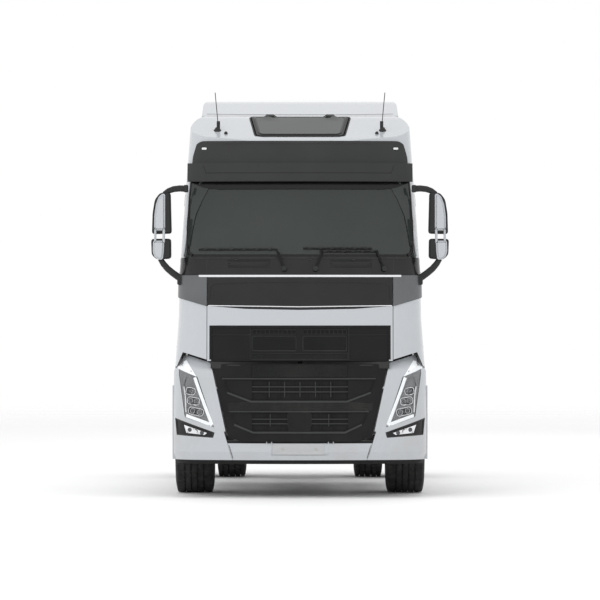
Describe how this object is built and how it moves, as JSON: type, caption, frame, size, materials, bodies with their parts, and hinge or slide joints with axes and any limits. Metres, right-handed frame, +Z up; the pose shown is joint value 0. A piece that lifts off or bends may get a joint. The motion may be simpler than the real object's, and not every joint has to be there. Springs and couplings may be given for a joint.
{
  "type": "semi truck tractor unit",
  "caption": "Two-axle semi truck tractor unit with a high-roof sleeper cab over the engine and a fifth wheel, with tilting cab, opening doors, lid, grille step and hatch.",
  "frame": {"origin": "on the ground, at the middle of the overall length and width", "axes": "+X towards the truck's own left side, +Y towards its rear, +Z up; the cab faces -Y"},
  "size_m": [2.9216, 6, 3.9801],
  "materials": {
    "body_paint": "gloss",
    "chassis_paint": "satin",
    "cast_parts": "matte",
    "cooling_core": "satin",
    "rubber_parts": "matte",
    "black_plastic": "matte",
    "grey_plastic": "matte",
    "gloss_black": "gloss",
    "lamp_housing": "gloss",
    "lamp_red": "gloss",
    "tank_metal": "satin",
    "tread_plate": "satin",
    "glass": "gloss",
    "dark_glass": "gloss",
    "bright_trim": "gloss",
    "interior_plastic": "matte",
    "seat_cloth": "matte",
    "tyre": "matte",
    "wheel_metal": "satin",
    "greased_steel": "satin"
  },
  "bodies": {
    "chassis": {"frame": "chassis_paint", "engine": "cast_parts", "radiator": "cooling_core", "front_axle": "chassis_paint", "rear_axle": "chassis_paint", "front_springs": "chassis_paint", "rear_springs": "rubber_parts", "bumper": "body_paint", "bumper_lip": "black_plastic", "corner_panels": "body_paint", "front_lamps": "lamp_housing", "entry_steps": "black_plastic", "front_guards": "black_plastic", "rear_guards": "black_plastic", "fuel_tanks": "tank_metal", "service_box": "black_plastic", "deck_plate": "tread_plate", "coupling_base": "chassis_paint", "rear_beam": "chassis_paint", "rear_lamps": "lamp_red"},
    "cab": {"cab_shell": "body_paint", "windscreen": "glass", "sun_visor": "body_paint", "roof_fairing": "body_paint", "side_fairings": "body_paint", "cowl": "gloss_black", "trim_strip": "bright_trim", "corner_vanes": "grey_plastic", "aerials": "black_plastic", "wipers": "black_plastic", "mirrors": "gloss_black", "dashboard": "interior_plastic", "seats": "seat_cloth", "bunk": "seat_cloth"},
    "front_lid": {"lid_panel": "gloss_black", "lid_band": "body_paint", "upper_grille": "black_plastic"},
    "grille_flap": {"lower_grille": "black_plastic"},
    "hatch": {"roof_hatch": "dark_glass"},
    "door_l": {"door_left": "body_paint", "door_glass_left": "glass"},
    "door_r": {"door_right": "body_paint", "door_glass_right": "glass"},
    "steer_l": {"knuckle_left": "chassis_paint"},
    "steer_r": {"knuckle_right": "chassis_paint"},
    "tie": {"tie_rod": "chassis_paint"},
    "wheel_fl": {"front_tyre_left": "tyre", "front_rim_left": "wheel_metal"},
    "wheel_fr": {"front_tyre_right": "tyre", "front_rim_right": "wheel_metal"},
    "wheel_rl": {"rear_tyres_left": "tyre", "rear_rims_left": "wheel_metal"},
    "wheel_rr": {"rear_tyres_right": "tyre", "rear_rims_right": "wheel_metal"},
    "hand_wheel": {"steering_wheel": "interior_plastic"},
    "coupling": {"coupling_plate": "greased_steel"}
  },
  "joints": [
    {"name": "cab_tilt", "type": "hinge", "parent": "chassis", "child": "cab", "pos_m": [0, -2.83, 0.95], "axis": [1, 0, 0], "range_deg": [0, 65]},
    {"name": "front_lid", "type": "hinge", "parent": "cab", "child": "front_lid", "pos_m": [0, -2.898, 2.162], "axis": [-1, 0, 0], "range_deg": [0, 80]},
    {"name": "grille_fold", "type": "hinge", "parent": "chassis", "child": "grille_flap", "pos_m": [0, -2.992, 0.546], "axis": [1, 0, 0], "range_deg": [0, 75]},
    {"name": "roof_hatch", "type": "hinge", "parent": "cab", "child": "hatch", "pos_m": [0, -1.989, 3.771], "axis": [-1, 0, 0], "range_deg": [0, 12]},
    {"name": "door_left", "type": "hinge", "parent": "cab", "child": "door_l", "pos_m": [1.194, -2.524, 2.16], "axis": [0.055, 0, -0.9985], "range_deg": [0, 75]},
    {"name": "door_right", "type": "hinge", "parent": "cab", "child": "door_r", "pos_m": [-1.194, -2.524, 2.16], "axis": [0.055, 0, 0.9985], "range_deg": [0, 75]},
    {"name": "steer_left", "type": "hinge", "parent": "chassis", "child": "steer_l", "pos_m": [0.86, -1.62, 0.536], "axis": [0, 0, 1], "range_deg": [-42, 42]},
    {"name": "steer_right", "type": "hinge", "parent": "chassis", "child": "steer_r", "pos_m": [-0.86, -1.62, 0.536], "axis": [0, 0, 1], "range_deg": [-42, 42]},
    {"name": "tie_rod_turn", "type": "hinge", "parent": "steer_l", "child": "tie", "pos_m": [0.86, -1.43, 0.39], "axis": [0, 0, 1], "range_deg": [-42, 42]},
    {"name": "roll_front_left", "type": "hinge", "parent": "steer_l", "child": "wheel_fl", "pos_m": [1.05, -1.62, 0.536], "axis": [1, 0, 0], "continuous": true},
    {"name": "roll_front_right", "type": "hinge", "parent": "steer_r", "child": "wheel_fr", "pos_m": [-1.05, -1.62, 0.536], "axis": [1, 0, 0], "continuous": true},
    {"name": "roll_rear_left", "type": "hinge", "parent": "chassis", "child": "wheel_rl", "pos_m": [0.916, 2.08, 0.538], "axis": [1, 0, 0], "continuous": true},
    {"name": "roll_rear_right", "type": "hinge", "parent": "chassis", "child": "wheel_rr", "pos_m": [-0.916, 2.08, 0.538], "axis": [1, 0, 0], "continuous": true},
    {"name": "hand_wheel_turn", "type": "hinge", "parent": "cab", "child": "hand_wheel", "pos_m": [0.64, -2.2, 2.42], "axis": [0, 0.454, 0.891], "range_deg": [-756, 756]},
    {"name": "coupling_rock", "type": "hinge", "parent": "chassis", "child": "coupling", "pos_m": [0, 1.5, 1.085], "axis": [1, 0, 0], "range_deg": [-10, 10]}
  ],
  "couplings": [
    {"joint": "steer_right", "follows": "steer_left", "ratio": 1},
    {"joint": "tie_rod_turn", "follows": "steer_left", "ratio": -1},
    {"joint": "hand_wheel_turn", "follows": "steer_left", "ratio": 18}
  ]
}
